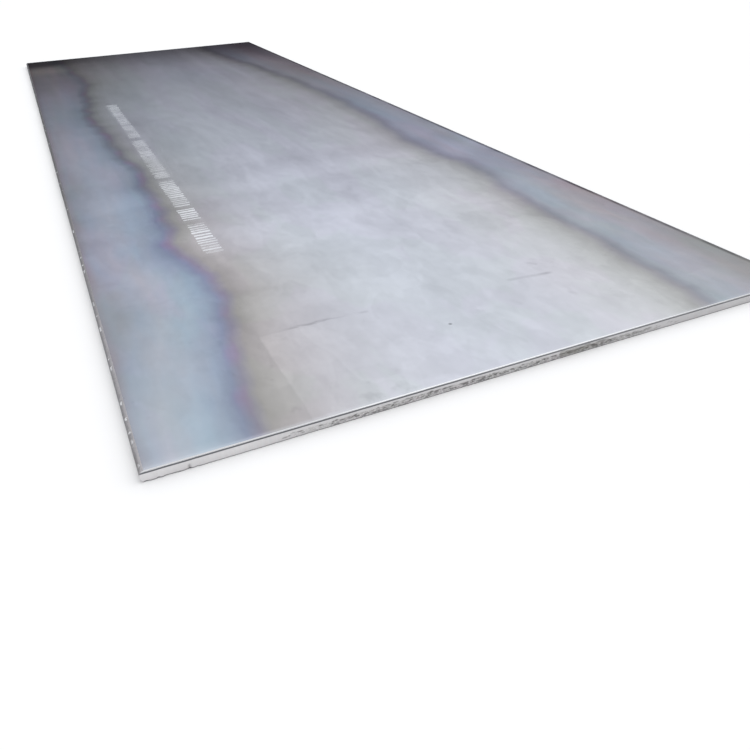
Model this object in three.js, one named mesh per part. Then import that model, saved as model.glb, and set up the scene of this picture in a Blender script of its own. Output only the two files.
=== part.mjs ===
// Hot-rolled steel plate cut to length: flat rolled faces, rounded mill edges along
// its length, sheared ends across its width. One rolled piece, so one closed body.
// Millimetres. X across the width, Y along the rolling direction, Z up.
// The origin is the centre of the underside.
import * as THREE from 'three';

// ---- driving dimensions ---------------------------------------------------
const WIDTH = 2000;          // across the mill edges, X
const LENGTH = 6000;         // between the sheared ends, Y
const THICKNESS = 30;        // Z

const SIDE_STATIONS = 40;    // spans along each mill edge
const END_STATIONS = 50;     // spans along each sheared end

const EDGE_WAVE = 1.6;       // how far a mill edge wanders inward, at most
const SHEAR_STEP = 0.9;      // where one shear blade meets the next, on the near end
const SHEAR_STEP_X = 205;    // and its place across the width
const BURNISH_WAVE = 1.7;    // rise and fall of the line between burnish and fracture
const BURR = 0.75;           // raggedness of the lip along the foot of a sheared end

// The rim, ring by ring from the rolled face on top to the one below.
// z: share of the thickness.  end: inset of a sheared end.  side: inset of a mill edge.
// line: how much of BURNISH_WAVE the ring takes.  burr: how much of BURR it takes.
const RIM = [
  { z: 1.000, end: 2.6, side: 10.0, line: 0.0, burr: 0.0 },   // rollover starts
  { z: 0.982, end: 1.2, side: 6.2, line: 0.0, burr: 0.0 },
  { z: 0.935, end: 0.4, side: 3.4, line: 0.0, burr: 0.0 },
  { z: 0.860, end: 0.0, side: 1.6, line: 0.0, burr: 0.0 },    // burnished band starts
  { z: 0.700, end: 0.0, side: 0.4, line: 0.0, burr: 0.0 },
  { z: 0.530, end: 0.0, side: 0.0, line: 1.0, burr: 0.0 },    // burnished band ends
  { z: 0.485, end: 0.8, side: 0.0, line: 1.0, burr: 0.0 },    // fracture starts
  { z: 0.300, end: 1.2, side: 0.5, line: 0.4, burr: 0.3 },
  { z: 0.130, end: 1.7, side: 2.2, line: 0.0, burr: 0.5 },
  { z: 0.040, end: 1.2, side: 4.8, line: 0.0, burr: 1.0 },    // lip
  { z: 0.000, end: 2.0, side: 8.6, line: 0.0, burr: 0.8 },
];

// ---- seeded unevenness ----------------------------------------------------
function noise(seed) {
  let s = seed >>> 0;
  return () => {
    s = (Math.imul(s, 1664525) + 1013904223) >>> 0;
    return s / 4294967296;
  };
}

// Smooth wander of a mill edge, 0 at its outermost point and EDGE_WAVE at its innermost.
function edgeWander(seed) {
  const r = noise(seed);
  const terms = [3100, 1750, 940, 520].map((w, i) => ({
    k: (2 * Math.PI) / (w * (0.9 + 0.2 * r())),
    a: [1, 0.7, 0.45, 0.3][i],
    p: 2 * Math.PI * r(),
  }));
  const raw = [];
  for (let i = 0; i <= SIDE_STATIONS; i++) {
    const y = (i / SIDE_STATIONS - 0.5) * LENGTH;
    raw.push(terms.reduce((t, c) => t + c.a * Math.sin(c.k * y + c.p), 0) + 0.25 * (r() - 0.5));
  }
  const lo = Math.min(...raw);
  const hi = Math.max(...raw);
  return raw.map((v) => (EDGE_WAVE * (v - lo)) / (hi - lo));
}

// Unevenness of a sheared end at each station: the burnish line and the ragged lip.
function shearWander(seed) {
  const r = noise(seed);
  const p = [r(), r(), r()].map((v) => 2 * Math.PI * v);
  const out = [];
  for (let i = 0; i <= END_STATIONS; i++) {
    const x = (i / END_STATIONS - 0.5) * WIDTH;
    const line = 0.45 * Math.sin(x / 260 + p[0]) + 0.3 * Math.sin(x / 91 + p[1]) + 0.5 * (r() - 0.5);
    const burr = 0.35 * Math.sin(x / 140 + p[2]) + 0.9 * (r() - 0.5);
    out.push({ line: line, burr: burr });
  }
  return out;
}

// ---- the plate ------------------------------------------------------------
function buildPlate() {
  const left = edgeWander(11);
  const right = edgeWander(23);
  const near = shearWander(5);
  const far = shearWander(17);
  const stepAt = (x) => SHEAR_STEP * THREE.MathUtils.smoothstep(x, SHEAR_STEP_X - 12, SHEAR_STEP_X + 12);

  // One closed loop of points for each ring, anticlockwise seen from above:
  // near end left to right, right edge, far end right to left, left edge.
  const ring = (p) => {
    const z = p.z * THICKNESS;
    const nearY = (i) => -LENGTH / 2 + p.end + BURR * p.burr * near[i].burr
      + (p.z < 1 ? stepAt((i / END_STATIONS - 0.5) * WIDTH) * (p.z > 0 ? 1 : 0.5) : 0);
    const farY = (i) => LENGTH / 2 - p.end - BURR * p.burr * far[i].burr;
    const leftX = (j) => -WIDTH / 2 + p.side + left[j];
    const rightX = (j) => WIDTH / 2 - p.side - right[j];
    const pts = [];
    for (let i = 0; i < END_STATIONS; i++) {
      const t = i / END_STATIONS;
      const x = THREE.MathUtils.lerp(leftX(0), rightX(0), t);
      pts.push(new THREE.Vector3(x, nearY(i), z + BURNISH_WAVE * p.line * near[i].line));
    }
    for (let j = 0; j < SIDE_STATIONS; j++) {
      const t = j / SIDE_STATIONS;
      const y = THREE.MathUtils.lerp(nearY(END_STATIONS), farY(END_STATIONS), t);
      const k = p.line * BURNISH_WAVE * (j === 0 ? near[END_STATIONS].line : 0);
      pts.push(new THREE.Vector3(rightX(j), y, z + k));
    }
    for (let i = END_STATIONS; i > 0; i--) {
      const t = i / END_STATIONS;
      const x = THREE.MathUtils.lerp(leftX(SIDE_STATIONS), rightX(SIDE_STATIONS), t);
      pts.push(new THREE.Vector3(x, farY(i), z + BURNISH_WAVE * p.line * far[i].line));
    }
    for (let j = SIDE_STATIONS; j > 0; j--) {
      const t = j / SIDE_STATIONS;
      const y = THREE.MathUtils.lerp(nearY(0), farY(0), t);
      const k = p.line * BURNISH_WAVE * (j === SIDE_STATIONS ? far[0].line : 0);
      pts.push(new THREE.Vector3(leftX(j), y, z + k));
    }
    return pts;
  };

  const loops = RIM.map(ring);
  const n = loops[0].length;
  const position = [];
  loops.forEach((loop) => loop.forEach((v) => position.push(v.x, v.y, v.z)));

  const index = [];
  for (let k = 0; k + 1 < loops.length; k++) {
    for (let i = 0; i < n; i++) {
      const j = (i + 1) % n;
      const a = k * n + i;
      const b = k * n + j;
      const c = (k + 1) * n + i;
      const d = (k + 1) * n + j;
      index.push(a, c, d, a, d, b);
    }
  }
  const flat = (loop) => THREE.ShapeUtils.triangulateShape(loop.map((v) => new THREE.Vector2(v.x, v.y)), []);
  flat(loops[0]).forEach(([a, b, c]) => index.push(a, b, c));
  const base = (loops.length - 1) * n;
  flat(loops[loops.length - 1]).forEach(([a, b, c]) => index.push(base + a, base + c, base + b));

  const geometry = new THREE.BufferGeometry();
  geometry.setAttribute('position', new THREE.Float32BufferAttribute(position, 3));
  geometry.setIndex(index);
  geometry.computeVertexNormals();
  return geometry;
}

const steel = new THREE.MeshStandardMaterial({ name: 'hot_rolled_steel', color: 0xa4acb4, metalness: 0.75, roughness: 0.42 });

const plate = new THREE.Mesh(buildPlate(), steel);
plate.name = 'plate';

const part = new THREE.Group();
part.name = 'steel_plate';
part.add(plate);

export default part;
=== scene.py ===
import math

import bpy
import numpy as np
from mathutils import Matrix, Vector


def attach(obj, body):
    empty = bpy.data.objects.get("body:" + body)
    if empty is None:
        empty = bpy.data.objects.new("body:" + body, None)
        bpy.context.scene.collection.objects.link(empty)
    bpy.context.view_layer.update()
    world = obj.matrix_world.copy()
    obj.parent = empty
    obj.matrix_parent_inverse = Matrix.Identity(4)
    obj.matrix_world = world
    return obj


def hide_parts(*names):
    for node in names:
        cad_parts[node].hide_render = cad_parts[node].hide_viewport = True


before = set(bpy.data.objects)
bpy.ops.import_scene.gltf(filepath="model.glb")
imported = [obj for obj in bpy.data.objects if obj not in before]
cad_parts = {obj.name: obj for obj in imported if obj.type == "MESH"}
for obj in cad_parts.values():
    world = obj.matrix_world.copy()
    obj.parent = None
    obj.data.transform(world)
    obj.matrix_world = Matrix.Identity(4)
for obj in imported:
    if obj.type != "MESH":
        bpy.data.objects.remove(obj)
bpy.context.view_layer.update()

# One hot-rolled steel plate, lying flat. Metres; X across, Y along the rolling direction.
W, L, T = 2.0, 6.0, 0.030
MM = 0.001

# ---- camera -----------------------------------------------------------------
FOCAL_PX = 706.485
AZ, EL, TILT = math.radians(-23.652), math.radians(33.048), math.radians(-2.08)


def make_camera():
    fwd = Vector((-math.sin(AZ) * math.cos(EL), math.cos(AZ) * math.cos(EL), -math.sin(EL)))
    right = fwd.cross(Vector((0, 0, 1))).normalized()
    up = right.cross(fwd)
    r2 = math.cos(TILT) * right + math.sin(TILT) * up
    u2 = -math.sin(TILT) * right + math.cos(TILT) * up
    m = Matrix((r2, u2, -fwd)).transposed().to_4x4()
    m.translation = Vector((0.003 * W - W / 2, -L / 2 - 0.634 * W, T + 0.491 * W))
    data = bpy.data.cameras.new("camera")
    data.sensor_fit = "HORIZONTAL"
    data.sensor_width = 36.0
    data.lens = 36.0 * FOCAL_PX / 750.0
    data.clip_start, data.clip_end = 0.01, 500.0
    cam = bpy.data.objects.new("camera", data)
    cam.matrix_world = m
    bpy.context.scene.collection.objects.link(cam)
    bpy.context.scene.camera = cam


# ---- node trees -------------------------------------------------------------
class Nodes:
    """Short names for the few node kinds that the materials are made of."""

    def __init__(self, tree):
        self.t = tree

    def new(self, kind, **props):
        n = self.t.nodes.new(kind)
        for k, v in props.items():
            setattr(n, k, v)
        return n

    def put(self, socket, value):
        if isinstance(value, bpy.types.NodeSocket):
            self.t.links.new(value, socket)
        elif value is not None:
            socket.default_value = value

    def math(self, op, a, b=None, c=None, clamp=False):
        n = self.new("ShaderNodeMath", operation=op, use_clamp=clamp)
        for s, v in zip(n.inputs, (a, b, c)):
            self.put(s, v)
        return n.outputs[0]

    def add(self, a, b): return self.math("ADD", a, b)
    def sub(self, a, b): return self.math("SUBTRACT", a, b)
    def mul(self, a, b): return self.math("MULTIPLY", a, b)

    def between(self, v, lo, hi, a=0.0, b=1.0, smooth=True):
        """v from lo to hi, brought to a to b and held at both ends."""
        n = self.new("ShaderNodeMapRange", interpolation_type="SMOOTHSTEP" if smooth else "LINEAR")
        n.clamp = True
        for s, x in zip(n.inputs, (v, lo, hi, a, b)):
            self.put(s, x)
        return n.outputs[0]

    def window(self, v, lo, hi, soft):
        """1 from lo to hi, 0 outside, with soft sides."""
        return self.mul(self.between(v, lo - soft, lo + soft), self.between(v, hi - soft, hi + soft, 1.0, 0.0))

    def xyz(self, x=0.0, y=0.0, z=0.0):
        n = self.new("ShaderNodeCombineXYZ")
        for s, v in zip(n.inputs, (x, y, z)):
            self.put(s, v)
        return n.outputs[0]

    def noise(self, vec, scale=1.0, detail=2.0, rough=0.5, lac=2.0, distort=0.0):
        n = self.new("ShaderNodeTexNoise", noise_dimensions="3D")
        self.put(n.inputs["Vector"], vec)
        for k, v in (("Scale", scale), ("Detail", detail), ("Roughness", rough), ("Lacunarity", lac), ("Distortion", distort)):
            n.inputs[k].default_value = v
        return n.outputs["Fac"]

    def swing(self, vec, amount, **kw):
        """Noise about 0: from about -amount to +amount."""
        return self.mul(self.sub(self.noise(vec, **kw), 0.5), amount * 2)

    def cells(self, vec, scale=1.0, feature="F1", jitter=1.0):
        n = self.new("ShaderNodeTexVoronoi", feature=feature)
        self.put(n.inputs["Vector"], vec)
        n.inputs["Scale"].default_value = scale
        n.inputs["Randomness"].default_value = jitter
        return n

    def random(self, value):
        n = self.new("ShaderNodeTexWhiteNoise", noise_dimensions="1D")
        self.put(n.inputs["W"], value)
        return n.outputs["Value"]

    def ramp(self, fac, stops, mode="LINEAR"):
        n = self.new("ShaderNodeValToRGB")
        r = n.color_ramp
        r.interpolation = mode
        while len(r.elements) < len(stops):
            r.elements.new(0.5)
        for e, (p, c) in zip(r.elements, stops):
            e.position = p
            e.color = (*((c, c, c) if isinstance(c, (int, float)) else c), 1)
        self.put(n.inputs[0], fac)
        return n.outputs[0]

    def curve(self, value, points, lo, hi):
        """A drawn curve through points of (place 0 to 1, height lo to hi)."""
        n = self.new("ShaderNodeFloatCurve")
        c = n.mapping.curves[0]
        c.points[0].location = (points[0][0], (points[0][1] - lo) / (hi - lo))
        c.points[1].location = (points[-1][0], (points[-1][1] - lo) / (hi - lo))
        for p, h in points[1:-1]:
            c.points.new(p, (h - lo) / (hi - lo))
        for p in c.points:
            p.handle_type = "AUTO_CLAMPED"
        n.mapping.update()
        self.put(n.inputs["Value"], value)
        return self.add(self.mul(n.outputs[0], hi - lo), lo)

    def mix(self, fac, a, b, how="MIX"):
        n = self.new("ShaderNodeMix", data_type="RGBA", blend_type=how)
        self.put(n.inputs[0], fac)
        for s, v in ((n.inputs[6], a), (n.inputs[7], b)):
            self.put(s, (*v, 1) if isinstance(v, tuple) and len(v) == 3 else v)
        return n.outputs[2]

    def blend(self, fac, a, b):
        """The same for plain numbers."""
        n = self.new("ShaderNodeMix", data_type="FLOAT")
        for s, v in ((n.inputs[0], fac), (n.inputs[2], a), (n.inputs[3], b)):
            self.put(s, v)
        return n.outputs[0]

    def grey(self, value):
        n = self.new("ShaderNodeCombineColor")
        for s in n.inputs:
            self.put(s, value)
        return n.outputs[0]

    def times(self, colour, value):
        """A colour made lighter or darker by a number."""
        return self.mix(1.0, colour, self.grey(value), "MULTIPLY")

    def attr(self, name):
        n = self.new("ShaderNodeAttribute", attribute_name=name)
        return n.outputs["Fac"]


def material(name, tint):
    """A material with one metal shader. tint is how grazing light is coloured."""
    mat = bpy.data.materials.new(name)
    mat.use_nodes = True
    mat.node_tree.nodes.clear()
    g = Nodes(mat.node_tree)
    out = g.new("ShaderNodeOutputMaterial")
    b = g.new("ShaderNodeBsdfPrincipled")
    b.inputs["Specular Tint"].default_value = (*tint, 1)
    g.put(out.inputs["Surface"], b.outputs[0])
    tc = g.new("ShaderNodeTexCoord")
    sep = g.new("ShaderNodeSeparateXYZ")
    g.put(sep.inputs[0], tc.outputs["Object"])
    return mat, g, b, sep.outputs[0], sep.outputs[1], sep.outputs[2]


def bump(g, shader, height, strength, distance):
    n = g.new("ShaderNodeBump")
    n.inputs["Strength"].default_value = strength
    n.inputs["Distance"].default_value = distance
    g.put(n.inputs["Height"], height)
    g.put(shader.inputs["Normal"], n.outputs[0])


# ---- studio -----------------------------------------------------------------
SKY = [  # sine of the height above the horizon, brightness
    (0.0, 0.04), (0.12, 0.04), (0.1327, 0.075), (0.14, 0.120), (0.148, 0.232), (0.157, 0.368), (0.18, 0.54), (0.205, 0.665), (0.2355, 0.845),
    (0.276, 0.97), (0.30, 1.11), (0.335, 1.24), (0.37, 1.23), (0.42, 1.21), (0.6, 1.20), (0.78, 1.15), (1.0, 1.04),
]
SKY_MAX = 1.25


def make_world():
    world = bpy.data.worlds.new("studio")
    bpy.context.scene.world = world
    world.use_nodes = True
    world.node_tree.nodes.clear()
    g = Nodes(world.node_tree)
    tc = g.new("ShaderNodeTexCoord")
    sep = g.new("ShaderNodeSeparateXYZ")
    g.put(sep.inputs[0], tc.outputs["Generated"])
    stops = [(p, (0.97 * v / SKY_MAX, 0.99 * v / SKY_MAX, 1.03 * v / SKY_MAX)) for p, v in SKY]
    sky = g.new("ShaderNodeBackground")
    below = g.between(sep.outputs["Z"], -0.02, -0.06)           # only seen from under the floor
    g.put(sky.inputs["Color"], g.mix(below, g.ramp(sep.outputs["Z"], stops), (0.70, 0.71, 0.73)))
    sky.inputs["Strength"].default_value = SKY_MAX
    back = g.new("ShaderNodeBackground")
    back.inputs["Color"].default_value = (1, 1, 1, 1)
    path = g.new("ShaderNodeLightPath")
    both = g.new("ShaderNodeMixShader")
    g.put(both.inputs[0], path.outputs["Is Camera Ray"])
    g.put(both.inputs[1], sky.outputs[0])
    g.put(both.inputs[2], back.outputs[0])
    out = g.new("ShaderNodeOutputWorld")
    g.put(out.inputs[0], both.outputs[0])


def make_floor():
    mesh = bpy.data.meshes.new("floor")
    s = 150.0
    a, b = W / 2 - 0.03, L / 2 - 0.03        # open under the plate, so that the underside can be looked at
    mesh.from_pydata([(-s, -s, 0), (s, -s, 0), (s, s, 0), (-s, s, 0), (-a, -b, 0), (a, -b, 0), (a, b, 0), (-a, b, 0)], [],
                     [(0, 1, 5, 4), (1, 2, 6, 5), (2, 3, 7, 6), (3, 0, 4, 7)])
    floor = bpy.data.objects.new("floor", mesh)
    floor.location.z = -0.2 * MM
    bpy.context.scene.collection.objects.link(floor)
    mat = bpy.data.materials.new("floor")
    mat.use_nodes = True
    b = mat.node_tree.nodes["Principled BSDF"]
    b.inputs["Base Color"].default_value = (0.95, 0.937, 0.915, 1)
    b.inputs["Roughness"].default_value = 0.9
    b.inputs["Specular IOR Level"].default_value = 0.2
    mesh.materials.append(mat)


# ---- seeded unevenness ------------------------------------------------------
def table(seed, *shape):
    return np.random.RandomState(seed).rand(*shape) * 2 - 1


def noise1(t, seed):
    """Smooth noise along a line, -1 to 1, with knots one apart."""
    tab = table(seed, 2048)
    i = np.floor(t).astype(int)
    f = t - i
    f = f * f * (3 - 2 * f)
    return tab[i % 2048] * (1 - f) + tab[(i + 1) % 2048] * f


def noise2(x, y, seed):
    """Smooth noise over a plane, -1 to 1, with knots one apart."""
    tab = table(seed, 256, 256)
    i, j = np.floor(x).astype(int), np.floor(y).astype(int)
    f, g = x - i, y - j
    f, g = f * f * (3 - 2 * f), g * g * (3 - 2 * g)
    a, b, c, d = i % 256, (i + 1) % 256, j % 256, (j + 1) % 256
    return (tab[a, c] * (1 - f) + tab[b, c] * f) * (1 - g) + (tab[a, d] * (1 - f) + tab[b, d] * f) * g


def step(v, lo, hi):
    t = np.clip((v - lo) / (hi - lo), 0, 1)
    return t * t * (3 - 2 * t)


# ---- the plate's edges --------------------------------------------------------
NEAR, SIDE, FAR = 800, 500, 400          # stations along the near end, each mill edge, the far end
SHARES = np.array([                       # ring heights, shares of the thickness, top to bottom
    1.0, 1.0, 0.996, 0.985, 0.965, 0.935, 0.895, 0.85, 0.79, 0.73, 0.67, 0.61, 0.555, 0.50, 0.45,
    0.40, 0.35, 0.30, 0.25, 0.20, 0.15, 0.105, 0.065, 0.03, 0.0])
HOLD = 5 * MM                             # the first ring is this far inside the second, both flat

ROLL = 3.0 * MM                           # rollover of a sheared end: how far in it starts
ROLL_DEEP = 0.17                          # and how far down it ends, a share of the thickness
SIDE_ROUND = 12.0 * MM                     # how far in the rolled face ends on a mill edge
STEP_X = 2 * 0.552 - 1                    # where one shear blade met the next


def pits(seed, x0, x1, z0, z1, count, wide, tall, deep):
    """Random torn dashes on a sheared face: centre, half sizes, lean and depth."""
    r = np.random.RandomState(seed)
    return [(r.uniform(x0, x1), r.uniform(z0, z1), r.uniform(*wide) / 2, r.uniform(*tall) / 2,
             r.uniform(-0.25, 0.35), r.uniform(*deep)) for _ in range(count)]


NEAR_PITS = (
    pits(31, -0.68, 0.46, 0.0075, 0.0165, 130, (0.007, 0.022), (0.0028, 0.0056), (0.0003, 0.0009))
    + pits(32, -0.55, 0.30, 0.0030, 0.0080, 80, (0.005, 0.016), (0.0024, 0.0044), (0.0003, 0.0007))
    + pits(33, STEP_X + 0.004, STEP_X + 0.16, 0.006, 0.0205, 30, (0.008, 0.030), (0.0018, 0.0040), (0.0003, 0.0007))
    + pits(34, 0.30, 0.52, 0.008, 0.016, 12, (0.006, 0.014), (0.0022, 0.0040), (0.0002, 0.0005))
)
FAR_PITS = (
    pits(41, -0.62, 0.55, 0.0075, 0.0165, 110, (0.006, 0.022), (0.0022, 0.0050), (0.0003, 0.0008))
    + pits(42, -0.55, 0.45, 0.0030, 0.0080, 60, (0.005, 0.016), (0.0020, 0.0040), (0.0003, 0.0007))
)


def sheared(x, z, near):
    """How far a sheared end is cut back at (x, z), and its masks: pit, torn zone, step patch."""
    s = z / T
    k = 0 if near else 100
    # rollover, a quarter of an ellipse down from the rolled face
    r = np.clip((s - (1 - ROLL_DEEP)) / ROLL_DEEP, 0, 1)
    back = ROLL * (1 - np.sqrt(np.clip(1 - r ** 2.2, 0, 1)))
    # torn zone below the burnished band; near the corners the band runs almost to the foot
    rough = step(x, -0.72, -0.60) * step(-x, -0.50, -0.36)
    line = T * (0.10 + 0.44 * rough) + 1.1 * MM * noise1(x / 0.060, 3 + k) + 0.6 * MM * noise1(x / 0.017, 4 + k)
    torn = step(line - z, -0.4 * MM, 1.6 * MM)
    back += 0.9 * MM * torn * (0.45 + 0.55 * rough)
    back += rough * torn * (0.22 * MM * noise2(x / 0.011, z / 0.004, 5 + k) + 0.15 * MM * noise2(x / 0.005, z / 0.002, 6 + k))
    back += 0.06 * MM * noise2(x / 0.030, z / 0.012, 7 + k)
    # the end is not sheared dead straight
    back += 0.35 * MM * (noise1(x / 0.45, 8 + k) + 1)
    # dashes torn out of the face
    pit = np.zeros_like(x)
    for cx, cz, hx, hz, lean, deep in (NEAR_PITS if near else FAR_PITS):
        if x.min() - hx > cx or x.max() + hx < cx:
            continue
        e = np.sqrt(((x - cx) / hx) ** 2 + ((z - cz - lean * (x - cx) * 0.25) / hz) ** 2)
        m = step(1 - e, 0.0, 0.40)
        back += deep * m
        pit = np.maximum(pit, m * (0.45 + 0.55 * min(1.0, deep / 0.0008)))
    # where one blade met the next: a step down to the right that dies away
    if near:
        at = step(x, STEP_X - 0.0015, STEP_X + 0.0015)
        fade = step(-x, -(STEP_X + 0.20), -(STEP_X + 0.05))
        tall = step(s, 0.04, 0.14) * step(-s, -0.80, -0.70)
        patch = at * fade * tall
        back += 1.1 * MM * patch
        # a nick by the corner, from the foot to half way up
        nick = np.exp(-((x + 0.892) / 0.0028) ** 2) * step(-s, -0.60, -0.25)
        back += 1.6 * MM * nick
        pit = np.maximum(pit, 0.8 * nick)
    else:
        patch = np.zeros_like(x)
    # lip along the foot: ragged, most of all in the last hand's width by each corner
    corner = step(-x, 0.80, 0.90) if near else step(np.abs(x), 0.84, 0.93)
    ragged = 0.5 + 0.5 * noise1(x / 0.0085, 9 + k) + 0.35 * noise1(x / 0.0035, 10 + k)
    chip = np.clip(ragged - 0.45 + 0.25 * corner, 0, 1) * (0.9 + 3.2 * corner) * MM
    low = step(-s, -(0.07 + 0.10 * corner), -0.01)
    back += chip * low
    lip = np.exp(-((s - 0.045) / 0.03) ** 2)
    back -= 0.35 * MM * lip * (1 - np.clip(chip / MM, 0, 1))
    return back, pit, torn * rough, patch


def mill_edge(y, z, left):
    """How far a rounded mill edge stands back at (y, z)."""
    k = 0 if left else 50
    s = np.clip(z / T, 0, 1)
    mid = 0.5 + 0.05 * noise1(y / 0.8, 11 + k)
    far = np.abs(s - mid) / np.where(s > mid, 1 - mid, mid)
    back = SIDE_ROUND * (1 - np.clip(1 - far ** 2.3, 0, 1) ** (1 / 2.3))
    back += 0.8 * MM * (1 + 0.5 * noise1(y / 1.1, 12 + k) + 0.35 * noise1(y / 0.37, 13 + k) + 0.15 * noise1(y / 0.11, 14 + k))
    flat = step(1 - far, 0.0, 0.35)
    back += flat * (0.28 * MM * noise2(y / 0.05, z / 0.006, 15 + k) + 0.16 * MM * noise2(y / 0.02, z / 0.004, 16 + k))
    # small scabs and laps pressed into the edge
    lap = np.clip(noise2(y / 0.07, z / 0.009, 17 + k) - 0.55, 0, 1) * flat
    back += 1.3 * MM * lap
    return back, lap


def sag(x, y):
    """The rolled face is true to a few tenths of a millimetre. Never above 0, and 0 along the rim."""
    w = 0.30 * noise2((x + 5) / 0.8, (y + 9) / 1.3, 21) + 0.12 * noise2((x + 5) / 0.24, (y + 9) / 0.5, 22) - 0.42
    rim = np.minimum(np.minimum(1 - np.abs(x), 3 - np.abs(y)) / 0.25, 1)
    return MM * w * step(np.clip(rim, 0, 1), 0.08, 1)


# ---- the plate's mesh ---------------------------------------------------------
def rim_rings():
    """Each ring's points, anticlockwise seen from above, with masks."""
    rings = []
    for k, share in enumerate(SHARES):
        z = share * T
        hold = HOLD if k == 0 else 0.0
        tn = np.arange(NEAR + 1) / NEAR
        tf = np.arange(FAR + 1) / FAR
        ts = np.arange(SIDE + 1) / SIDE
        ys = -L / 2 + L * ts
        zn, zs, zf = (np.full_like(t, z) for t in (tn, ts, tf))
        left, lap_l = mill_edge(ys, zs, True)
        right, lap_r = mill_edge(ys, zs, False)
        left, right = left + hold, right + hold
        # corners first, then the points between them
        xn = (-W / 2 + left[0]) * (1 - tn) + (W / 2 - right[0]) * tn
        xf = (-W / 2 + left[-1]) * (1 - tf) + (W / 2 - right[-1]) * tf
        near, pit_n, torn_n, patch_n = sheared(xn, zn, True)
        far, pit_f, torn_f, patch_f = sheared(xf, zf, False)
        near, far = near + hold, far + hold
        yr = (-L / 2 + near[-1]) * (1 - ts) + (L / 2 - far[-1]) * ts
        yl = (-L / 2 + near[0]) * (1 - ts) + (L / 2 - far[0]) * ts
        pts = np.concatenate([
            np.stack([xn, -L / 2 + near, zn], 1)[:-1],
            np.stack([W / 2 - right, yr, zs], 1)[:-1],
            np.stack([xf, L / 2 - far, zf], 1)[:0:-1],
            np.stack([-W / 2 + left, yl, zs], 1)[:0:-1]])
        zero = np.zeros(SIDE)
        mask = {
            "pit": np.concatenate([pit_n[:-1], lap_r[:-1], pit_f[:0:-1], lap_l[:0:-1]]),
            "torn": np.concatenate([torn_n[:-1], zero, torn_f[:0:-1], zero]),
            "patch": np.concatenate([patch_n[:-1], zero, patch_f[:0:-1], zero]),
        }
        rings.append((pts, mask))
    return rings


def stitch(outer, inner):
    """Triangles between two rows of vertices that run side by side, the inner one on the left."""
    faces, i, j, m, n = [], 0, 0, len(outer) - 1, len(inner) - 1
    while i < m or j < n:
        if j == n or (i < m and (i + 1) / m <= (j + 1) / n):
            faces.append((outer[i], outer[i + 1], inner[j]))
            i += 1
        else:
            faces.append((outer[i], inner[j + 1], inner[j]))
            j += 1
    return faces


def face_grid(ring, start, nx, ny, gap, z_of, flip):
    """Fills a closed ring (its first vertex is start) with a grid, and returns its points and faces."""
    n = NEAR + SIDE + FAR + SIDE
    x0, x1 = ring[:, 0].min() + gap, ring[:, 0].max() - gap
    y0, y1 = ring[:, 1].min() + gap, ring[:, 1].max() - gap
    xs, ys = np.linspace(x0, x1, nx + 1), np.linspace(y0, y1, ny + 1)
    gx, gy = np.meshgrid(xs, ys)
    pts = np.stack([gx.ravel(), gy.ravel(), z_of(gx.ravel(), gy.ravel())], 1)
    base = start + n
    at = lambda i, j: base + j * (nx + 1) + i
    outer = [start + q for q in range(n)] + [start]
    c = np.cumsum([0, NEAR, SIDE, FAR, SIDE])
    sides = [
        [at(i, 0) for i in range(nx + 1)],
        [at(nx, j) for j in range(ny + 1)],
        [at(nx - i, ny) for i in range(nx + 1)],
        [at(0, ny - j) for j in range(ny + 1)],
    ]
    faces = []
    for q, side in enumerate(sides):
        faces += stitch(outer[c[q]:c[q + 1] + 1], side)
    faces += [(at(i, j), at(i + 1, j), at(i + 1, j + 1), at(i, j + 1)) for j in range(ny) for i in range(nx)]
    return pts, [f[::-1] for f in faces] if flip else faces


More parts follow.
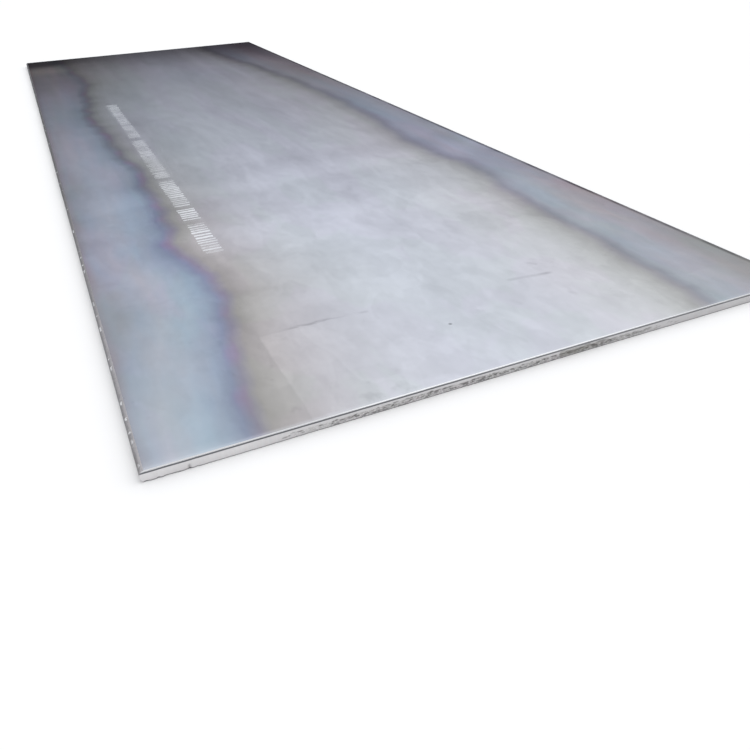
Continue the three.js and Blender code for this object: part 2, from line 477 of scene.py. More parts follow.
def make_plate():
    rings = rim_rings()
    n = NEAR + SIDE + FAR + SIDE
    count = len(rings)
    names = ("pit", "torn", "patch")
    points, masks = [], {k: [] for k in names}
    # the ring order in the mesh: bottom first up to the top, then the top's grid
    for pts, mask in rings[::-1]:
        points.append(pts)
        for k in names:
            masks[k].append(mask[k])
    # the top ring follows the rolled face, which the rim leaves level
    top = rings[0][0]
    grid, top_faces = face_grid(top, (count - 1) * n, 110, 165, 0.012, lambda x, y: T + sag(x, y), False)
    points.append(grid)
    # the underside's ring is the first one, and needs its grid next to it: it is copied at the end
    start = count * n + len(grid)
    low = rings[-1][0]
    under, under_faces = face_grid(low, start, 40, 60, 0.020, lambda x, y: np.zeros_like(x), True)
    points.append(under)
    # under_faces names the ring from `start`, and the grid after it: move both back
    def back(v):
        return v - start if v < start + n else v - n
    under_faces = [tuple(back(v) for v in f) for f in under_faces]
    for k in names:
        masks[k].append(np.zeros(len(grid) + len(under)))
    verts = np.concatenate(points)
    masks = {k: np.concatenate(v) for k, v in masks.items()}

    faces, kinds = [], []
    side_of = np.concatenate([np.full(NEAR, 1), np.full(SIDE, 2), np.full(FAR, 3), np.full(SIDE, 4)])
    for r in range(count - 1):
        a = r * n
        b = (r + 1) * n
        for i in range(n):
            j = (i + 1) % n
            faces.append((a + i, a + j, b + j, b + i))
            s = int(side_of[i])
            kinds.append(0 if r == count - 2 else s)
    faces += top_faces
    kinds += [0] * len(top_faces)
    faces += under_faces
    kinds += [5] * len(under_faces)

    mesh = bpy.data.meshes.new("rolled_plate")
    mesh.from_pydata(verts.tolist(), [], faces)
    kinds = np.array(kinds)
    slots = np.array([0, 1, 2, 1, 2, 3])[kinds]
    mesh.polygons.foreach_set("material_index", slots.astype(np.int32))
    mesh.polygons.foreach_set("use_smooth", np.ones(len(faces), bool))
    for k in names:
        a = mesh.attributes.new(k, "FLOAT", "POINT")
        a.data.foreach_set("value", masks[k].astype(np.float32))

    # one flat layout for the whole piece, each side in a strip of its own
    loops = np.empty(len(mesh.loops), np.int32)
    mesh.loops.foreach_get("vertex_index", loops)
    total = np.empty(len(faces), np.int32)
    mesh.polygons.foreach_get("loop_total", total)
    kind = np.repeat(kinds, total)
    v = verts[loops]
    ringed = loops < count * n
    rank = np.where(ringed, loops // n, count - 1) / (count - 1)
    along_y = (v[:, 1] + L / 2) / L
    along_x = (v[:, 0] + W / 2) / W
    e = 0.004
    u_ = np.where(np.isin(kind, (1, 3)), along_x, along_y) * (1 - 2 * e) + e
    bands = {0: (0.430, 0.996), 5: (0.215, 0.424), 1: (0.140, 0.208), 3: (0.098, 0.133), 2: (0.052, 0.091), 4: (0.006, 0.045)}
    v_ = np.zeros(len(loops))
    for k, (lo, hi) in bands.items():
        m = kind == k
        v_[m] = lo + (hi - lo) * (along_x[m] if k in (0, 5) else rank[m])
    uv = mesh.uv_layers.new(name="OFBake")
    uv.data.foreach_set("uv", np.stack([u_, v_], 1).astype(np.float32).ravel())
    mesh.update()
    mesh.validate()
    ob = bpy.data.objects.new("rolled_plate", mesh)
    bpy.context.scene.collection.objects.link(ob)
    return ob


# ---- materials ----------------------------------------------------------------
# Where the heat tint starts, by the distance from the near end (in plate widths):
# the distance from the mill edge (in plate widths).
TINT_LEFT = [
    (0, .129), (.13, .144), (.21, .1525), (.3, .1675), (.425, .1725), (.515, .1635), (.56, .158), (.64, .150), (.72, .154),
    (.9, .1625), (.96, .158), (1.12, .173), (1.22, .156), (1.3, .1475), (1.45, .1475), (1.64, .130), (1.83, .126), (1.95, .14),
    (2.12, .147), (2.36, .173), (2.48, .165), (2.6, .154), (2.75, .143), (2.88, .134), (3.0, .128)]
TINT_RIGHT = [
    (0, .169), (.1, .1605), (.3, .154), (.45, .1505), (.56, .139), (.70, .123), (.77, .120), (.85, .138), (.95, .1465), (1.1, .139),
    (1.25, .124), (1.5, .117), (1.75, .121), (1.93, .131), (2.15, .150), (2.4, .176), (2.65, .210), (2.85, .228), (3.0, .235)]
# The tint itself, by the distance from that line towards the middle (in plate widths), near end and far end.
LEFT_NEAR = [
    (-.15, (.57, .56, .575)), (-.125, (.62, .64, .69)), (-.09, (.745, .745, .775)), (-.05, (.67, .735, .79)), (-.02, (.58, .645, .73)),
    (-.002, (.455, .495, .61)), (.012, (.485, .45, .515)), (.03, (.615, .572, .515)), (.06, (.775, .722, .662)), (.10, (.845, .805, .77)),
    (.16, (.90, .885, .87)), (.22, (.985, .985, .98)), (.30, (1.04, 1.04, 1.05))]
LEFT_FAR = [
    (-.15, (.60, .58, .585)), (-.10, (.715, .705, .72)), (-.06, (.715, .72, .76)), (-.02, (.60, .65, .69)), (-.002, (.46, .485, .525)),
    (.012, (.45, .435, .44)), (.03, (.61, .605, .56)), (.05, (.725, .715, .685)), (.08, (.80, .80, .785)), (.12, (.84, .85, .835)),
    (.17, (.90, .92, .91)), (.22, (.98, .985, .98)), (.30, (1.03, 1.03, 1.035))]
RIGHT_NEAR = [
    (-.15, (.60, .585, .56)), (-.11, (.655, .645, .64)), (-.07, (.745, .755, .745)), (-.04, (.775, .79, .78)), (-.015, (.71, .725, .725)),
    (.002, (.57, .565, .58)), (.012, (.625, .59, .585)), (.03, (.77, .74, .68)), (.06, (.96, .93, .865)), (.10, (1.05, 1.015, .975)),
    (.16, (1.035, 1.01, .985)), (.22, (1.015, 1.01, .995)), (.30, (.99, .99, .99))]
RIGHT_FAR = [
    (-.15, (.60, .55, .555)), (-.10, (.76, .705, .72)), (-.06, (.77, .745, .79)), (-.03, (.72, .72, .77)), (-.008, (.605, .59, .64)),
    (.003, (.585, .575, .60)), (.014, (.67, .65, .64)), (.03, (.80, .77, .725)), (.06, (.95, .92, .875)), (.10, (1.045, 1.015, .99)),
    (.16, (1.045, 1.02, 1.005)), (.22, (1.015, 1.005, 1.0)), (.30, (.99, .985, .99))]
# Tone of the middle by the distance from the near end (in plate widths); its fall over the last half width is painted
# shade, a far end darkened as if it reflected dark surroundings.
TONE_AND_FAR_SHADE = [
    (0, .965), (.15, .94), (.3, .96), (.45, .97), (.63, 1.03), (.71, .97), (.82, .955), (.90, 1.035), (1.01, .94), (1.10, 1.0),
    (1.35, 1.0), (1.62, .98), (1.80, 1.02), (2.1, 1.0), (2.3, .99), (2.42, .98), (2.5, .94), (2.6, .83), (2.7, .71), (2.8, .58),
    (2.9, .42), (3.0, .34)]
# How the cloudy texture is drawn out along the plate: near the end it is as it falls, further on ever longer.
DRAWN = [(0, 0), (.3, .3), (.6, .59), (1.0, .90), (1.5, 1.15), (2.0, 1.34), (2.5, 1.50), (3.0, 1.65)]
T_LO, T_HI = -.16, .32
MIDDLE = (0.580, 0.594, 0.627)            # the worn scale of the middle


def tint_ramp(g, dist, stops):
    return g.ramp(g.between(dist, T_LO, T_HI, smooth=False), [((p - T_LO) / (T_HI - T_LO), c) for p, c in stops])


def scale_top():
    """The rolled face: worn blue-grey scale, with the heat tint along both mill edges."""
    mat, g, b, x, y, z = material("rolled_scale", (0.62, 0.63, 0.66))
    v = g.mul(g.add(y, L / 2), 1 / W)                      # plate widths from the near end
    u = g.mul(g.add(x, W / 2), 1 / W)
    w = g.curve(g.mul(v, 1 / 3), [(p / 3, h) for p, h in DRAWN], 0, 3)
    place = g.xyz(u, w, 0.0)
    along = g.xyz(u, g.mul(w, 0.12), 3.0)                  # stretched along the rolling direction
    slow = g.xyz(u, g.mul(w, 0.35), 7.0)

    # both lines wander, and are scalloped
    def wander(k, much):
        lobes = g.cells(g.xyz(0.0, g.add(v, g.swing(g.xyz(0.0, v, k), 0.05, scale=7)), k + 2), scale=13).outputs["Distance"]
        fine = g.swing(g.xyz(g.mul(u, 3), v, k + 4), 0.003 * much, scale=24, detail=4, rough=0.6)
        return g.add(g.add(g.mul(g.sub(lobes, 0.50 - 0.25 / much), 0.011 * much), fine), g.swing(g.xyz(0.0, v, k + 6), 0.002, scale=8, detail=2))

    wob, wob_r = wander(1.0, 1.75), wander(41.0, 1.5)
    along_v = g.mul(v, 1 / 3)
    dl = g.add(g.sub(g.sub(u, 0.005), g.curve(along_v, [(p / 3, h) for p, h in TINT_LEFT], 0, 0.25)), wob)
    dr = g.add(g.sub(g.sub(0.997, u), g.curve(along_v, [(p / 3, h) for p, h in TINT_RIGHT], 0, 0.25)), wob_r)
    # the bands' softness changes along the plate
    stretch = g.add(1.0, g.swing(g.xyz(0.0, v, 21.0), 0.15, scale=2.2, detail=2))
    dl, dr = g.mul(dl, stretch), g.mul(dr, stretch)
    left = g.mix(g.between(v, 0.45, 1.5), tint_ramp(g, dl, LEFT_NEAR), tint_ramp(g, dl, LEFT_FAR))
    right = g.mix(g.between(v, 0.45, 0.85), tint_ramp(g, dr, RIGHT_NEAR), tint_ramp(g, dr, RIGHT_FAR))
    tint = g.mix(g.between(u, 0.45, 0.55), left, right)

    # towards the far end the left band loses its blue, and the whole plate turns a little warmer
    in_left = g.mul(g.between(dl, 0.035, -0.030), g.between(u, 0.5, 0.4))
    fade = g.ramp(g.mul(v, 1 / 3), [(1.5 / 3, (1, 1, 1)), (1.8 / 3, (.87, .86, .85)), (1.98 / 3, (.89, .86, .87)), (2.15 / 3, (.86, .80, .83)), (2.30 / 3, (.77, .72, .73)),
                                         (2.45 / 3, (.69, .65, .65)), (2.6 / 3, (.74, .71, .68)), (2.72 / 3, (1.05, .98, .88)), (2.80 / 3, (.95, .91, .82)), (2.88 / 3, (.76, .73, .68)), (1.0, (.72, .70, .66))])
    tint = g.mix(in_left, tint, g.mix(1.0, tint, fade, "MULTIPLY"))
    warm_l = g.ramp(g.mul(v, 1 / 3), [(2.0 / 3, (1, 1, 1)), (2.3 / 3, (1.01, .995, .96)), (2.6 / 3, (1.025, .965, .925)), (2.9 / 3, (1.04, .94, .88))])
    warm_r = g.ramp(g.mul(v, 1 / 3), [(2.0 / 3, (1, 1, 1)), (2.3 / 3, (.99, .995, 1.03)), (2.6 / 3, (.995, .965, 1.01)), (2.9 / 3, (1.0, .94, .98))])
    tint = g.mix(1.0, tint, g.mix(g.between(u, 0.20, 0.60), warm_l, warm_r), "MULTIPLY")
    # and the right band turns warmer and darker
    in_right = g.mul(g.between(dr, 0.060, -0.020), g.between(u, 0.5, 0.6))
    turned = g.ramp(g.mul(v, 1 / 3), [(1.55 / 3, (1, 1, 1)), (1.80 / 3, (1.03, 1.0, .96)), (2.05 / 3, (1.05, 1.01, .94)), (2.20 / 3, (1.02, .97, .90)),
                                           (2.38 / 3, (1.0, .96, .88)), (2.55 / 3, (.90, .86, .82)), (2.75 / 3, (.79, .76, .73))])
    tint = g.mix(in_right, tint, g.mix(1.0, tint, turned, "MULTIPLY"))
    # its outer part is warmer near the end and bluer further on
    outer = g.between(u, 0.895, 0.945)
    shift = g.ramp(along_v, [(0.0, (1, .98, .92)), (.15 / 3, (.99, .98, .93)), (.27 / 3, (1.05, .99, .96)), (.38 / 3, (1.14, 1.02, 1.01)),
                                         (.48 / 3, (1.15, 1.01, .99)), (.58 / 3, (1.05, .98, .99)), (.67 / 3, (1.01, .99, .99)), (.77 / 3, (1.0, 1.04, 1.03)),
                                         (.87 / 3, (.97, 1.05, 1.07)), (.97 / 3, (.99, 1.11, 1.12)), (1.07 / 3, (1.0, 1.03, 1.03)), (1.20 / 3, (.98, .98, 1.0)),
                                         (1.4 / 3, (1, 1, 1))])
    tint = g.mix(outer, tint, g.mix(1.0, tint, shift, "MULTIPLY"))
    tint = g.times(tint, g.add(1.0, g.mul(g.mul(g.between(u, 0.955, 0.985), g.window(v, 0.88, 1.13, 0.06)), 0.20)))
    # the line itself turns mauve here and there
    on_line = g.mul(g.window(dl, -0.002, 0.016, 0.006), g.between(g.noise(g.xyz(0.0, v, 77.0), scale=9, detail=1), 0.42, 0.62))
    tint = g.mix(g.mul(on_line, 0.8), tint, g.mix(1.0, tint, (1.09, 0.94, 1.05), "MULTIPLY"))

    faint = g.mul(g.mul(g.window(dl, -0.008, 0.018, 0.008), g.between(v, 2.1, 2.5)), g.between(u, 0.5, 0.4))
    tint = g.mix(faint, tint, g.mix(1.0, tint, (1.10, 1.10, 1.12), "MULTIPLY"))

    # inside the tinted bands: lilac and blue-green, in long patches
    inside = g.math("MAXIMUM", g.between(dl, -0.004, -0.022), g.between(dr, -0.004, -0.022))
    patches = g.between(g.noise(slow, scale=9, detail=3, rough=0.55, distort=0.4), 0.36, 0.66)
    hue = g.mix(patches, (0.965, 1.012, 1.015), (1.02, 0.99, 1.005))
    fine = g.between(g.noise(g.xyz(u, g.mul(w, 0.2), 31.0), scale=34, detail=3), 0.35, 0.65)
    hue2 = g.mix(fine, (0.985, 1.0, 1.01), (1.015, 1.0, 0.99))
    col = g.mix(inside, tint, g.mix(1.0, g.mix(1.0, tint, hue, "MULTIPLY"), hue2, "MULTIPLY"))
    # a warmer strip against the left mill edge
    edge_l = g.mul(g.between(u, 0.022, 0.006), g.between(g.noise(g.xyz(0.0, v, 41.0), scale=3.0, detail=2), 0.35, 0.6))
    col = g.mix(g.mul(edge_l, 0.6), col, g.mix(1.0, col, (1.075, 0.98, 0.97), "MULTIPLY"))
    ragged = g.add(u, g.swing(g.xyz(g.mul(u, 4), v, 43.0), 0.004, scale=14, detail=3))
    col = g.mix(g.between(ragged, 0.022, 0.001), col, g.mix(1.0, col, (0.90, 0.865, 0.85), "MULTIPLY"))
    # a darker stretch of the left band
    dip = g.mul(g.window(v, 0.53, 0.70, 0.05), g.between(dl, 0.02, -0.02))
    col = g.mix(dip, col, g.mix(1.0, col, (0.90, 0.90, 0.905), "MULTIPLY"))

    # tone: long streaks, clouds, fine mottle
    streak = g.add(g.swing(along, 0.066, scale=20, detail=3, rough=0.6), g.swing(g.xyz(u, g.mul(w, 0.3), 53.0), 0.012, scale=60, detail=2))
    cloud = g.add(g.swing(place, 0.085, scale=5.5, detail=5, rough=0.6), g.swing(g.xyz(u, g.mul(w, 0.6), 57.0), 0.05, scale=16, detail=2))
    mottle = g.swing(g.xyz(u, g.mul(w, 0.6), 51.0), 0.068, scale=48, detail=4, rough=0.6)
    wide = g.swing(g.xyz(g.mul(u, 0.5), w, 61.0), 0.04, scale=3.4, detail=1)
    # long flakes, each a shade of its own
    bent = g.xyz(g.add(u, g.swing(slow, 0.05, scale=9, detail=2)), g.add(g.mul(w, 0.38), g.swing(place, 0.03, scale=12, detail=2)), 0.0)
    flake = g.new("ShaderNodeSeparateColor")
    g.put(flake.inputs[0], g.cells(bent, scale=9).outputs["Color"])
    flakes = g.mul(g.sub(flake.outputs[0], 0.5), 0.045)
    # patches with clear borders, a little lilac or green
    patch1 = g.between(g.noise(g.xyz(u, g.mul(w, 0.62), 63.0), scale=13, detail=4, rough=0.5, distort=0.5), 0.470, 0.530, -0.022, 0.022)
    patch2 = g.between(g.noise(g.xyz(u, g.mul(w, 0.5), 67.0), scale=31, detail=3, rough=0.5, distort=0.3), 0.48, 0.54, -0.010, 0.012)
    hues = g.between(g.noise(g.xyz(u, g.mul(w, 0.5), 73.0), scale=8, detail=3, rough=0.5, distort=0.6), 0.46, 0.54)
    tone = g.add(g.add(g.add(1.0, streak), g.add(cloud, mottle)), g.add(g.add(wide, flakes), g.add(patch1, patch2)))
    tone = g.add(1.0, g.mul(g.sub(tone, 1.0), g.mul(g.blend(inside, 1.0, 0.68), g.between(v, 1.2, 1.9, 1.0, 0.85))))
    col = g.mix(1.0, col, g.mix(hues, (1.006, 0.996, 1.010), (0.990, 1.004, 0.992)), "MULTIPLY")
    # soft steps in tone across the plate, and painted shade: a far end darkened as if it reflected dark surroundings
    vv = g.add(v, g.swing(g.xyz(u, 0.0, 71.0), 0.035, scale=4, detail=2))
    tone = g.mul(tone, g.curve(g.mul(vv, 1 / 3), [(p / 3, h) for p, h in TONE_AND_FAR_SHADE], 0, 1.2))
    tone = g.mul(tone, g.sub(1.0, g.mul(g.mul(g.between(g.add(u, g.mul(g.sub(v, 2.0), 0.15)), 0.80, 0.95), g.between(v, 1.45, 2.05)), 0.17)))
    # painted shade: a dark rim along the far end and a darker far-left corner; and a darker line along the right-hand
    # edge
    right_rim = g.mul(g.between(u, 0.9835, 0.9905), g.between(g.noise(g.xyz(0.0, v, 47.0), scale=7, detail=3), 0.36, 0.62, 0.35, 1.0))
    rim = g.math("MAXIMUM", g.between(v, 2.984, 2.994), right_rim)
    rim = g.math("MAXIMUM", rim, g.mul(g.mul(g.between(g.sub(vv, g.mul(u, 0.25)), 2.755, 2.89), g.between(u, 0.40, 0.06, 0.15, 1.0)), 0.75))
    tone = g.mul(tone, g.sub(1.0, g.mul(rim, 0.62)))
    # rubbed marks: two thin lines across, a dark spot, smudges by the near end
    wave = g.add(v, g.swing(g.xyz(u, 0.0, 81.0), 0.007, scale=22, detail=3))
    thick = g.between(g.noise(g.xyz(u, 0.0, 83.0), scale=26, detail=2), 0.35, 0.65, 0.0003, 0.0026)
    off = g.math("ABSOLUTE", g.sub(wave, g.sub(0.2240, g.mul(g.math("POWER", g.sub(u, 0.28), 2.0), 0.9))))
    torn_up = g.between(g.noise(g.xyz(u, g.mul(v, 3), 87.0), scale=70, detail=4, rough=0.6), 0.34, 0.60, 0.25, 1.0)
    most = g.between(g.math("ABSOLUTE", g.sub(u, 0.280)), 0.055, 0.010, 0.40, 1.0)
    line1 = g.mul(g.mul(g.between(off, g.add(thick, 0.0028), g.mul(thick, 0.6)), g.window(u, 0.242, 0.332, 0.018)), g.mul(torn_up, most))
    halo = g.mul(g.mul(g.between(off, 0.010, 0.001), g.window(u, 0.235, 0.345, 0.03)), g.mul(most, g.between(torn_up, 0.25, 1.0, 0.5, 1.0)))
    blot = g.mul(g.window(u, 0.356, 0.369, 0.005), g.between(g.math("ABSOLUTE", g.sub(wave, 0.2200)), 0.0045, 0.001))

    def stroke(cu, cv, tu, tv, half, wide):
        """A short straight mark: centre, direction, half length and half width."""
        n = math.hypot(tu, tv)
        du, dv = g.sub(u, cu), g.add(g.sub(v, cv), g.swing(g.xyz(u, 0.0, 88.0), 0.0012, scale=40, detail=1))
        s = g.math("ABSOLUTE", g.add(g.mul(du, tu / n), g.mul(dv, tv / n)))
        t = g.math("ABSOLUTE", g.sub(g.mul(dv, tu / n), g.mul(du, tv / n)))
        return g.mul(g.between(s, half, half * 0.70), g.between(t, wide, wide * 0.15))

    line2 = g.mul(stroke(0.647, 0.2066, 1.0, -0.106, 0.045, 0.0066), g.between(u, 0.655, 0.680, 0.55, 1.0))
    line2 = g.math("MAXIMUM", line2, g.mul(stroke(0.6787, 0.2448, 0.603, -0.798, 0.0105, 0.0062), 0.46))
    line2 = g.math("MAXIMUM", line2, g.mul(stroke(0.6700, 0.1280, 0.46, -0.89, 0.0100, 0.0080), 0.22))
    line2 = g.math("MAXIMUM", line2, g.mul(stroke(0.5775, 0.1410, 0.24, -0.97, 0.0120, 0.0075), 0.25))
    # the near left of the middle was rubbed lighter, along a straight line and up to the first mark
    wipe = g.add(u, g.add(g.swing(g.xyz(0.0, v, 85.0), 0.0035, scale=9, detail=2), g.swing(g.xyz(u, v, 86.0), 0.0020, scale=70, detail=3)))
    below = g.mul(g.between(wave, 0.2235, 0.2185), g.mul(g.between(wipe, 0.2000, 0.2040), g.between(u, 0.40, 0.24)))
    tone = g.mul(tone, g.add(1.0, g.mul(g.mul(below, g.between(v, 0.03, 0.14, 0.65, 1.0)), 0.075)))
    beside = g.mul(g.mul(g.between(wipe, 0.2040, 0.2000), g.between(u, 0.150, 0.185)), g.between(v, 0.34, 0.20))
    tone = g.mul(tone, g.sub(1.0, g.mul(beside, 0.045)))
    worn = g.between(g.noise(g.xyz(g.mul(u, 2), v, 91.0), scale=30, detail=2), 0.35, 0.6)
    spot_d = g.math("POWER", g.add(g.math("POWER", g.sub(u, 0.457), 2.0), g.math("POWER", g.sub(v, 0.129), 2.0)), 0.5)
    spot = g.between(spot_d, 0.0038, 0.0015)
    smudge = g.mul(g.mul(g.window(u, 0.25, 0.36, 0.03), g.between(v, 0.075, 0.03)),
                   g.between(g.noise(g.xyz(u, v, 101.0), scale=38, detail=3), 0.5, 0.7))
    flecks = g.between(g.noise(g.xyz(u, g.mul(v, 0.7), 111.0), scale=95, detail=2, rough=0.6), 0.68, 0.78)
    marks = g.math("MAXIMUM", g.mul(g.mul(line2, g.between(worn, 0.0, 1.0, 0.72, 1.0)), 0.20), g.mul(spot, 0.42))
    marks = g.math("MAXIMUM", marks, g.add(g.mul(line1, 0.16), g.add(g.mul(halo, 0.045), g.mul(blot, 0.11))))
    thumb_d = g.math("POWER", g.add(g.math("POWER", g.sub(u, 0.190), 2.0), g.math("POWER", g.sub(v, 0.034), 2.0)), 0.5)
    thumb = g.mul(g.between(thumb_d, 0.011, 0.003), g.between(g.noise(place, scale=120, detail=2), 0.35, 0.6))
    smudge = g.math("MAXIMUM", smudge, thumb)
    marks = g.math("MAXIMUM", marks, g.math("MAXIMUM", g.mul(smudge, 0.10), g.mul(flecks, 0.09)))
    tone = g.mul(tone, g.sub(1.0, marks))
    col = g.times(col, tone)
    # painted highlight: the top made lighter along the near edge, a thin line and, towards the left corner, a wider
    # soft glow, where the face bends over and catches the sky
    edge_highlight = g.mul(g.between(v, 0.0090, 0.0020), g.between(u, 0.5, 0.1, 0.35, 0.8))
    col = g.mix(g.mul(edge_highlight, 0.30), col, (1.2, 1.2, 1.2))
    edge_glow = g.mul(g.between(g.add(v, g.swing(g.xyz(u, 0.0, 45.0), 0.006, scale=30, detail=2)), 0.022, 0.004), g.between(u, 0.16, 0.06))
    col = g.mix(g.mul(edge_glow, 0.16), col, (1.1, 1.1, 1.1))
    # grazing light is coloured by the same layer
    graze = g.new("ShaderNodeGamma")
    g.put(graze.inputs[0], col)
    graze.inputs[1].default_value = 0.33
    g.put(b.inputs["Specular Tint"], g.mix(1.0, graze.outputs[0], (0.62, 0.63, 0.685), "MULTIPLY"))
    col = g.mix(1.0, col, MIDDLE, "MULTIPLY")

    # a row of plain paint bars, worn thin, where a plate is usually marked: five runs of them
    run = g.window(v, 0.5487, 1.915, 0.003)
    for stop, half in ((0.7150, 0.010), (0.8080, 0.007), (1.0240, 0.010), (1.4220, 0.012)):
        run = g.mul(run, g.between(g.math("ABSOLUTE", g.sub(v, stop)), half - 0.003, half + 0.003))
    cell = g.mul(g.add(v, g.swing(g.xyz(0.0, v, 127.0), 0.009, scale=14, detail=1)), 1 / 0.0128)
    idx = g.math("FLOOR", cell)
    frac = g.sub(cell, idx)
    r0, r1, r2, r3 = (g.random(g.add(idx, k)) for k in (0.11, 0.37, 0.61, 0.83))
    wide_bar = g.add(0.34, g.mul(r1, 0.28))
    bar = g.mul(g.mul(g.between(frac, 0.02, 0.10), g.between(g.sub(frac, wide_bar), 0.12, 0.04)), g.between(r0, 0.04, 0.10, 0.35, 1.0))
    lo_u = g.add(0.2030, g.mul(r2, 0.003))
    hi_u = g.sub(0.2395, g.mul(r3, 0.003))
    soft = g.between(v, 0.75, 1.3, 0.0012, 0.0035)
    ends = g.between(v, 1.3, 1.7, 0.0, 0.0035)
    across = g.mul(g.between(g.sub(u, g.add(lo_u, ends)), g.mul(soft, -1.0), soft), g.between(g.sub(u, g.sub(hi_u, ends)), soft, g.mul(soft, -1.0)))
    rub = g.between(g.noise(g.xyz(u, v, 121.0), scale=110, detail=4, rough=0.6), 0.28, 0.46)
    thin = g.between(g.noise(g.xyz(u, v, 131.0), scale=9, detail=1), 0.34, 0.58, 0.50, 1.0)
    bars = g.mul(g.mul(g.mul(bar, across), run), g.mul(rub, thin))
    # overspray round them, heavier further along
    lean = g.add(u, g.between(v, 1.42, 1.95, 0.0, 0.0075))
    haze = g.mul(g.mul(g.window(lean, 0.2085, 0.2365, 0.007), run), g.between(g.noise(g.xyz(u, v, 133.0), scale=14, detail=3), 0.38, 0.62, 0.25, 1.0))
    haze = g.mul(haze, g.between(v, 0.70, 1.10, 0.10, 0.27))
    paint = g.math("MAXIMUM", g.mul(bars, g.between(v, 0.75, 1.15, 0.84, 0.40)), haze)
    col = g.mix(paint, col, (0.84, 0.86, 0.88))

    g.put(b.inputs["Base Color"], col)
    g.put(b.inputs["Metallic"], g.sub(1.0, g.mul(paint, 0.7)))
    rough = g.add(g.blend(inside, 0.19, 0.23), g.add(g.swing(along, 0.03, scale=30, detail=3), g.mul(marks, 0.3)))
    g.put(b.inputs["Roughness"], g.add(rough, g.mul(paint, 0.35)))
    height = g.add(g.mul(g.noise(g.xyz(u, g.mul(v, 0.6), 141.0), scale=260, detail=4, rough=0.6), 0.6), g.mul(paint, 0.3))
    bump(g, b, height, 0.22, 0.0004)
    return mat


def sheared_end():
    """A sheared end: bright burnished band, torn dashes below, dirt in the hollows."""
    mat, g, b, x, y, z = material("sheared_steel", (0.8, 0.8, 0.82))
    pit, torn, patch = (g.attr(k) for k in ("pit", "torn", "patch"))
    s = g.mul(z, 1 / T)
    bright = (0.71, 0.70, 0.705)
    drag = g.swing(g.xyz(x, 0.0, g.mul(z, 0.15)), 0.06, scale=180, detail=3)        # fine lines down the cut
    cloud = g.swing(g.xyz(x, 0.0, z), 0.06, scale=12, detail=3)
    tone = g.add(g.add(1.0, drag), cloud)
    tone = g.mul(tone, g.curve(g.mul(g.add(x, 1.0), 0.5), [(0, 1.04), (0.1, 1.02), (0.25, 0.96), (0.5, 0.92), (0.75, 0.86), (1.0, 0.84)], 0, 1.2))
    col = g.times(bright, tone)
    warm = g.between(g.noise(g.xyz(x, 0.0, g.mul(z, 2.0)), scale=14, detail=2), 0.42, 0.6)
    dirt = g.mix(warm, (0.21, 0.215, 0.185), (0.26, 0.215, 0.22))
    dashes = g.between(g.noise(g.xyz(x, 0.0, g.mul(z, 3.2)), scale=75, detail=3, rough=0.6), 0.46, 0.60)
    grit = g.between(g.noise(g.xyz(x, 0.0, g.mul(z, 2.0)), scale=210, detail=3, rough=0.65), 0.42, 0.60)
    mottle = g.add(g.mul(dashes, 0.36), g.mul(grit, 0.30))
    begun = g.between(x, -0.70, -0.35, 0.45, 1.0)
    col = g.mix(g.mul(g.mul(torn, begun), g.add(0.03, mottle)), col, dirt)
    # painted glints: bright specks in the torn zone
    glint_specks = g.between(g.noise(g.xyz(x, 0.0, g.mul(z, 1.6)), scale=230, detail=2, rough=0.5), 0.57, 0.66)
    col = g.mix(g.mul(torn, g.mul(glint_specks, 0.8)), col, (0.88, 0.87, 0.87))
    stained = g.mul(g.between(g.noise(g.xyz(x, 0.0, g.mul(z, 4.0)), scale=90, detail=3), 0.3, 0.65, 0.35, 0.80), g.between(s, 0.72, 0.50, 0.35, 1.0))
    col = g.mix(g.mul(patch, stained), col, (0.33, 0.325, 0.29))
    col = g.mix(g.mul(pit, g.between(x, 0.15, 0.45, 0.64, 0.42)), col, (0.115, 0.11, 0.105))
    # painted shade: a dark band at the foot, a contact shadow where the end meets the floor
    contact_shade = g.mul(g.between(s, 0.12, 0.03), 0.65)
    col = g.mix(contact_shade, col, (0.13, 0.13, 0.14))
    # the rolled skin bent over at the top: a light band where it turns, partly bare polished steel and partly a
    # painted highlight set in strength along the edge; below it a dark line, partly bent-over scale and partly painted
    # shade where the rollover faces the dark horizon
    wav = g.add(s, g.swing(g.xyz(x, 0.0, 5.0), 0.02, scale=25, detail=3))
    # painted shade, partly dark scale: the line below the turn
    line = g.mul(g.window(wav, 0.772, 0.905, 0.018), g.between(x, 0.2, -0.4, 0.80, 0.92))
    col = g.mix(line, col, (0.10, 0.105, 0.12))
    # painted highlight, partly polished steel: the turn
    rollover_and_highlight = g.between(wav, 0.905, 0.945)
    highlight_level = g.curve(g.mul(g.add(x, 1.0), 0.5), [(0, .64), (0.2, .65), (0.3, .86), (0.55, .86), (0.7, .80), (0.8, .66), (1.0, .62)], 0, 1)
    col = g.mix(g.mul(rollover_and_highlight, 0.9), col, g.grey(highlight_level))
    g.put(b.inputs["Base Color"], col)
    b.inputs["Metallic"].default_value = 1.0
    rough = g.add(g.blend(rollover_and_highlight, 0.46, 0.24), g.add(g.mul(torn, 0.10), g.mul(pit, 0.15)))
    g.put(b.inputs["Roughness"], rough)
    height = g.add(g.mul(g.noise(g.xyz(x, y, g.mul(z, 0.25)), scale=500, detail=3), 0.5), g.mul(g.noise(g.xyz(x, y, z), scale=260, detail=4, rough=0.65), g.add(0.15, torn)))
    bump(g, b, height, 0.35, 0.0006)
    return mat


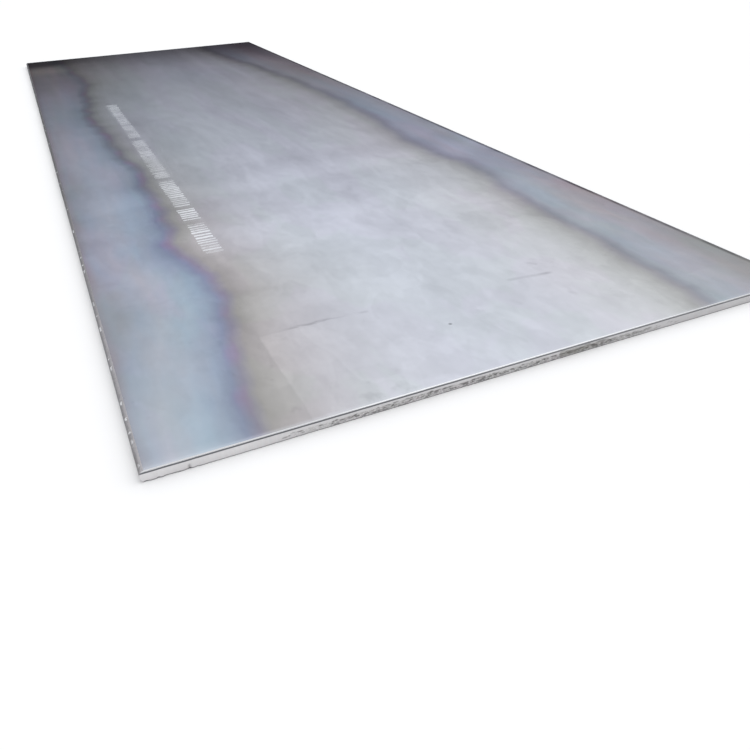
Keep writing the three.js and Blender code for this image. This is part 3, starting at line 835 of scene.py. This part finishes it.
def mill_side():
    """A mill edge: rounded, grey scale, rubbed bright in short flecks along the shoulder."""
    mat, g, b, x, y, z = material("mill_edge", (0.56, 0.56, 0.58))
    lap = g.attr("pit")
    s = g.mul(z, 1 / T)
    long_ = g.xyz(x, g.mul(y, 0.10), g.mul(z, 2.0))
    tone = g.add(1.0, g.add(g.swing(long_, 0.16, scale=60, detail=4, rough=0.6), g.swing(g.xyz(0.0, y, 5.0), 0.10, scale=1.6, detail=3)))
    # painted shade: darker away from the near end
    tone = g.mul(tone, g.curve(g.mul(g.add(y, L / 2), 1 / L), [(0, 1.0), (.10, .95), (.15, .84), (.25, .72), (.35, .58), (.5, .46), (.7, .40), (1.0, .36)], 0, 1.2))
    col = g.times(g.mix(g.between(g.noise(g.xyz(x, g.mul(y, 0.3), z), scale=14, detail=3), 0.4, 0.62), (0.27, 0.27, 0.285), (0.32, 0.30, 0.295)), tone)
    # painted light and shade: the upper shoulder coloured lighter than the lower part, as if lit from above
    col = g.mix(g.mul(g.between(s, 0.70, 0.93), 0.9), col, g.times((0.435, 0.42, 0.425), tone))
    scale = g.between(g.noise(g.xyz(x, g.mul(y, 0.5), z), scale=220, detail=3, rough=0.6), 0.5, 0.62)
    col = g.mix(g.mul(scale, 0.35), col, (0.19, 0.185, 0.19))
    # flecks, more of them towards the near end
    fine = g.xyz(x, g.mul(y, 0.5), g.mul(z, 1.5))
    fl = g.noise(g.xyz(0.0, g.add(y, g.swing(fine, 0.006, scale=130, detail=3)), 9.0), scale=22, detail=1, rough=0.4)
    at = g.add(g.add(s, g.swing(g.xyz(0.0, y, 15.0), 0.02, scale=6)), g.swing(fine, 0.045, scale=150, detail=3, rough=0.6))
    more = g.between(y, 1.5, -2.0, 0.64, 0.572)
    fleck = g.mul(g.between(g.sub(fl, more), 0.0, 0.022), g.window(at, 0.850, 0.965, 0.018))
    col = g.mix(g.mul(fleck, g.between(g.noise(g.xyz(0.0, y, 27.0), scale=11, detail=1), 0.36, 0.56, 0.55, 0.97)), col, (0.97, 0.97, 0.97))
    col = g.mix(g.mul(lap, 0.8), col, (0.13, 0.12, 0.12))
    g.put(b.inputs["Base Color"], col)
    b.inputs["Metallic"].default_value = 0.9
    g.put(b.inputs["Roughness"], g.sub(g.add(0.42, g.swing(long_, 0.08, scale=40, detail=3)), g.mul(fleck, 0.12)))
    height = g.add(g.noise(g.xyz(x, g.mul(y, 0.4), z), scale=240, detail=4, rough=0.6), g.mul(fleck, 0.6))
    bump(g, b, height, 0.4, 0.0008)
    return mat


def scale_under():
    """The underside: the same scale, unworn, darker, with faint bearer marks."""
    mat, g, b, x, y, z = material("under_scale", (0.62, 0.63, 0.66))
    u = g.mul(g.add(x, W / 2), 1 / W)
    v = g.mul(g.add(y, L / 2), 1 / W)
    tone = g.add(g.add(0.80, g.swing(g.xyz(u, g.mul(v, 0.12), 3.0), 0.09, scale=22, detail=3)),
                 g.add(g.swing(g.xyz(u, v, 9.0), 0.11, scale=5, detail=4), g.swing(g.xyz(u, v, 14.0), 0.06, scale=80, detail=3)))
    edge = g.math("MINIMUM", u, g.sub(1.0, u))
    edge = g.add(edge, g.swing(g.xyz(g.mul(u, 2.0), v, 19.0), 0.035, scale=3, detail=4, rough=0.55))
    col = g.mix(g.between(edge, 0.11, 0.19), (0.30, 0.325, 0.365), (0.37, 0.375, 0.385))
    rim = g.window(edge, 0.140, 0.152, 0.018)
    col = g.mix(g.mul(rim, 0.5), col, (0.235, 0.24, 0.28))
    bearer = g.window(g.math("ABSOLUTE", g.sub(g.math("ABSOLUTE", y), 1.55)), 0.0, 0.045, 0.006)
    rub = g.between(g.noise(g.xyz(u, v, 24.0), scale=26, detail=4, rough=0.6), 0.42, 0.6)
    col = g.mix(g.mul(g.mul(bearer, rub), 0.5), col, (0.27, 0.255, 0.24))
    g.put(b.inputs["Base Color"], g.times(col, tone))
    b.inputs["Metallic"].default_value = 1.0
    g.put(b.inputs["Roughness"], g.add(0.33, g.swing(g.xyz(u, g.mul(v, 0.2), 29.0), 0.06, scale=20, detail=3)))
    bump(g, b, g.noise(g.xyz(u, g.mul(v, 0.6), 34.0), scale=240, detail=4, rough=0.6), 0.3, 0.0005)
    return mat


# ---- the scene ------------------------------------------------------------------
make_camera()
make_world()
make_floor()
bpy.context.scene.view_settings.view_transform = "Standard"
bpy.context.scene.view_settings.look = "None"

plate = make_plate()
for m in (scale_top(), sheared_end(), mill_side(), scale_under()):
    plate.data.materials.append(m)
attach(plate, "root")
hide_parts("plate")
